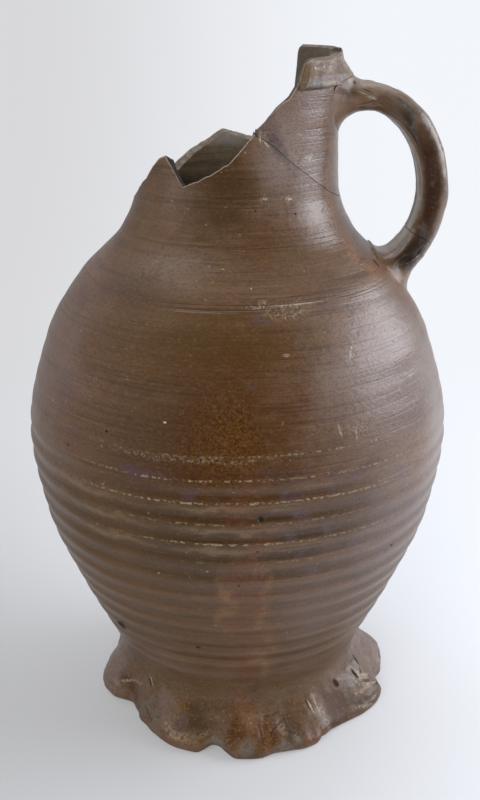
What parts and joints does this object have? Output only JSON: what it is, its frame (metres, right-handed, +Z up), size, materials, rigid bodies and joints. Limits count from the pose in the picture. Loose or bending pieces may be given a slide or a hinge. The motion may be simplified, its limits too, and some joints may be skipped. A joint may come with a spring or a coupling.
{
  "type": "stoneware jug",
  "caption": "Salt-glazed stoneware jug with a ribbed ovoid body, pinched foot, partly broken cylindrical neck and a mended loop handle",
  "frame": {"origin": "centre of the foot, on the surface that the jug stands on", "axes": "+Z up along the axis of the thrown body, +X towards the handle"},
  "size_m": [0.1798, 0.1797, 0.285],
  "materials": {
    "glazed_clay": "reddish-brown iron-washed stoneware under a thin salt glaze, satin with soft highlights",
    "worn_clay": "rubbed grey-brown stoneware where the glaze has worn off the rim",
    "old_glue": "dull dark line of aged glue"
  },
  "bodies": {
    "root": {"thrown_body": "glazed_clay", "pinched_foot": "glazed_clay", "neck_sherd": "glazed_clay", "rim_collar": "worn_clay", "handle_arch": "glazed_clay", "handle_stump": "glazed_clay", "upper_luting": "glazed_clay", "lower_luting": "glazed_clay", "neck_glue_film": "old_glue", "handle_glue_film": "old_glue"}
  },
  "joints": []
}
